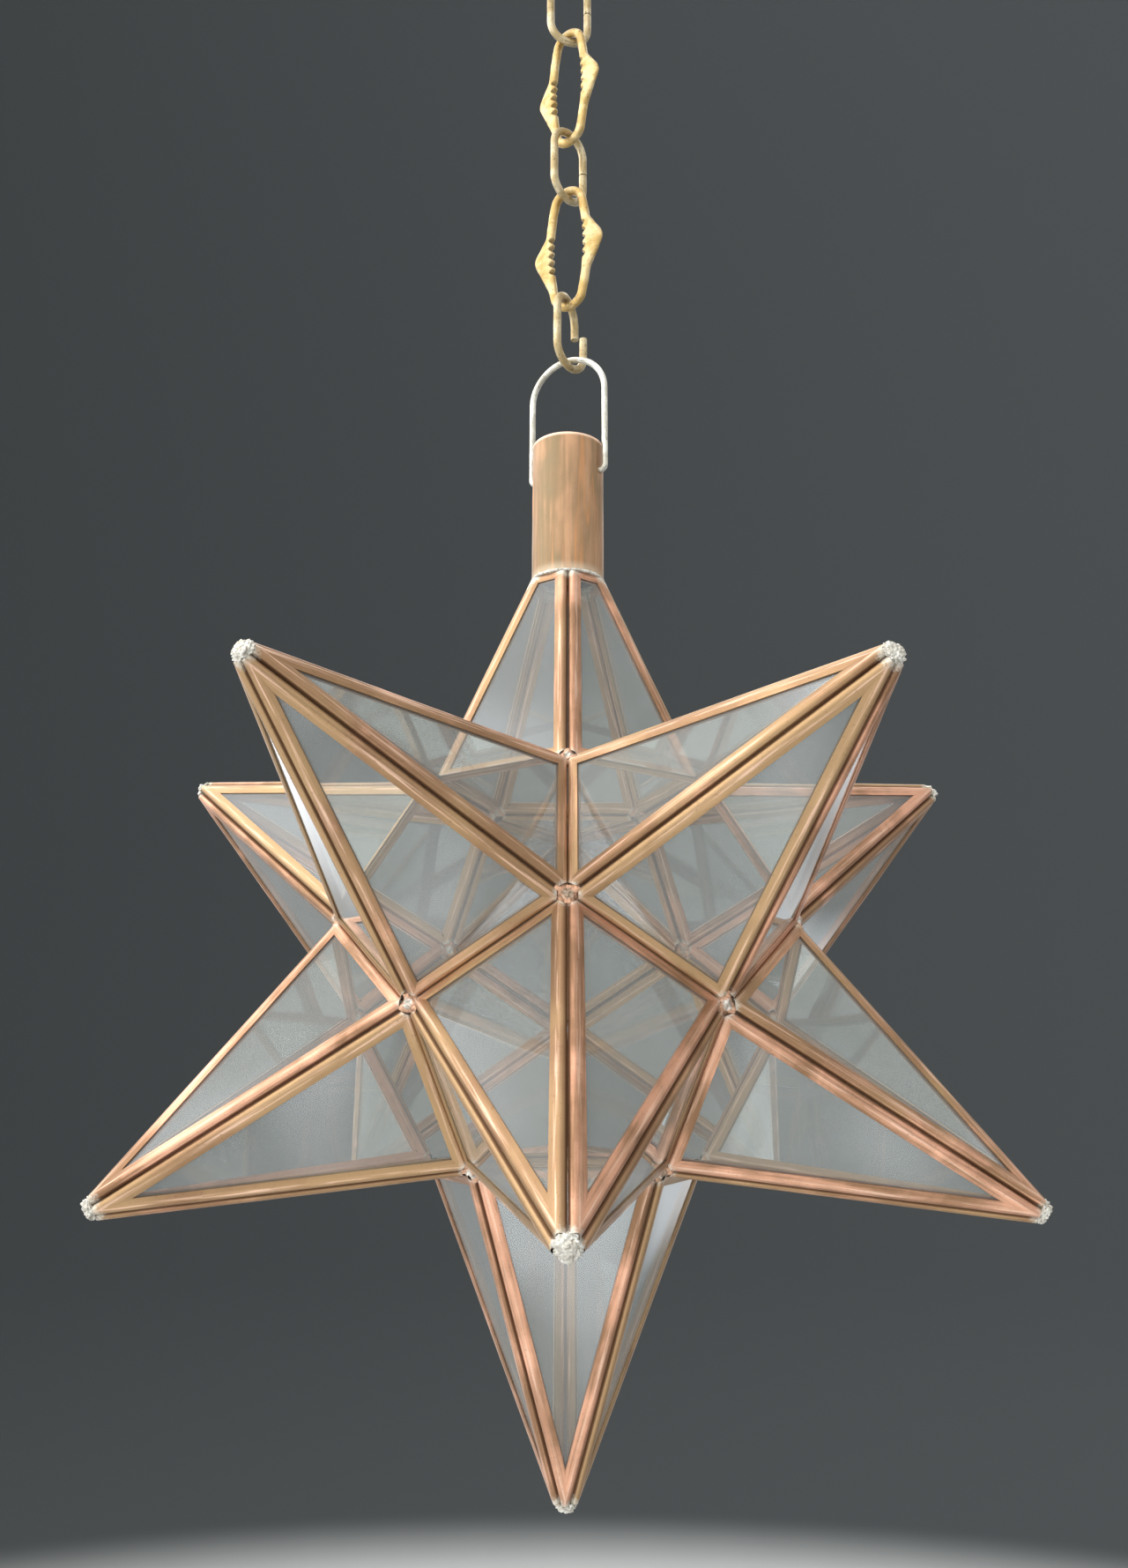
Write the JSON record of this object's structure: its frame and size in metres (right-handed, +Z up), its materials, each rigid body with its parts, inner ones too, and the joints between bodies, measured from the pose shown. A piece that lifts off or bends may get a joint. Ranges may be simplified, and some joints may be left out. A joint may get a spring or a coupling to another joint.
{
  "type": "star lamp",
  "caption": "Hanging star lantern of clear glass panes in copper channel, with a copper neck tube, a wire bail and a brass chain of plain and ornamental links",
  "frame": {"origin": "the saddle of the top link, on the hanging axis, where a ceiling hook bears", "axes": "+Z is up along the hanging axis; -Y is the front, which one point of the star's lower ring faces; +X is to the right of a viewer in front"},
  "size_m": [0.3058, 0.321, 0.6145],
  "materials": {
    "copper_channel": "folded sheet copper, aged and patinated",
    "copper_tube": "drawn copper, streaked with worn patina",
    "clear_glass": "clear sheet glass, polished",
    "solder": "tin solder, dull and lumpy",
    "bail_wire": "drawn wire, tinned and worn",
    "link_brass": "brass plate, worn pale",
    "cast_brass": "cast brass, golden",
    "nipple_steel": "zinc plated",
    "black_phenolic": "moulded phenolic, black",
    "porcelain": "glazed porcelain",
    "contact_brass": "pressed brass"
  },
  "bodies": {
    "top_link": {"top_plain_link": "link_brass"},
    "upper_ornament": {"upper_ornamental_link": "cast_brass"},
    "middle_link": {"middle_plain_link": "link_brass"},
    "lower_ornament": {"lower_ornamental_link": "cast_brass"},
    "sprung_link": {"open_link": "link_brass"},
    "bail": {"wire_bail": "bail_wire"},
    "star": {"bottom_point_frames": "copper_channel", "bottom_point_panes": "clear_glass", "cord_nipple": "nipple_steel", "corner_solder": "solder", "lampholder_cap": "black_phenolic", "lampholder_contact": "contact_brass", "lampholder_insert": "porcelain", "lampholder_screw_shell": "contact_brass", "lampholder_sleeve": "black_phenolic", "lampholder_terminals": "contact_brass", "lower_point_1_frames": "copper_channel", "lower_point_1_panes": "clear_glass", "lower_point_2_frames": "copper_channel", "lower_point_2_panes": "clear_glass", "lower_point_3_frames": "copper_channel", "lower_point_3_panes": "clear_glass", "lower_point_4_frames": "copper_channel", "lower_point_4_panes": "clear_glass", "lower_point_5_frames": "copper_channel", "lower_point_5_panes": "clear_glass", "neck_cap": "copper_tube", "neck_seam": "solder", "neck_tube": "copper_tube", "nipple_nuts": "nipple_steel", "tip_solder": "solder", "top_point_frames": "copper_channel", "top_point_panes": "clear_glass", "upper_point_1_frames": "copper_channel", "upper_point_1_panes": "clear_glass", "upper_point_2_frames": "copper_channel", "upper_point_2_panes": "clear_glass", "upper_point_3_frames": "copper_channel", "upper_point_3_panes": "clear_glass", "upper_point_4_frames": "copper_channel", "upper_point_4_panes": "clear_glass", "upper_point_5_frames": "copper_channel", "upper_point_5_panes": "clear_glass"}
  },
  "joints": [
    {"name": "upper_ornament_swing", "type": "hinge", "parent": "top_link", "child": "upper_ornament", "pos_m": [0, 0, -0.0307], "axis": [0.9511, 0.309, 0], "range_deg": [-45, 45]},
    {"name": "middle_link_swing", "type": "hinge", "parent": "upper_ornament", "child": "middle_link", "pos_m": [0, 0, -0.08115], "axis": [0.7986, -0.6018, 0], "range_deg": [-45, 45]},
    {"name": "lower_ornament_swing", "type": "hinge", "parent": "middle_link", "child": "lower_ornament", "pos_m": [0, 0, -0.1095], "axis": [0.7193, 0.6947, 0], "range_deg": [-45, 45]},
    {"name": "sprung_link_swing", "type": "hinge", "parent": "lower_ornament", "child": "sprung_link", "pos_m": [0, 0, -0.15995], "axis": [0.891, -0.454, 0], "range_deg": [-45, 45]},
    {"name": "bail_swing", "type": "hinge", "parent": "sprung_link", "child": "bail", "pos_m": [0.00086, -0.00061, -0.1883], "axis": [0.6318, 0.7752, 0], "range_deg": [-45, 45]},
    {"name": "star_swing", "type": "hinge", "parent": "bail", "child": "star", "pos_m": [0, 0, -0.23645], "axis": [0.891, -0.454, 0], "range_deg": [-90, 90]}
  ]
}
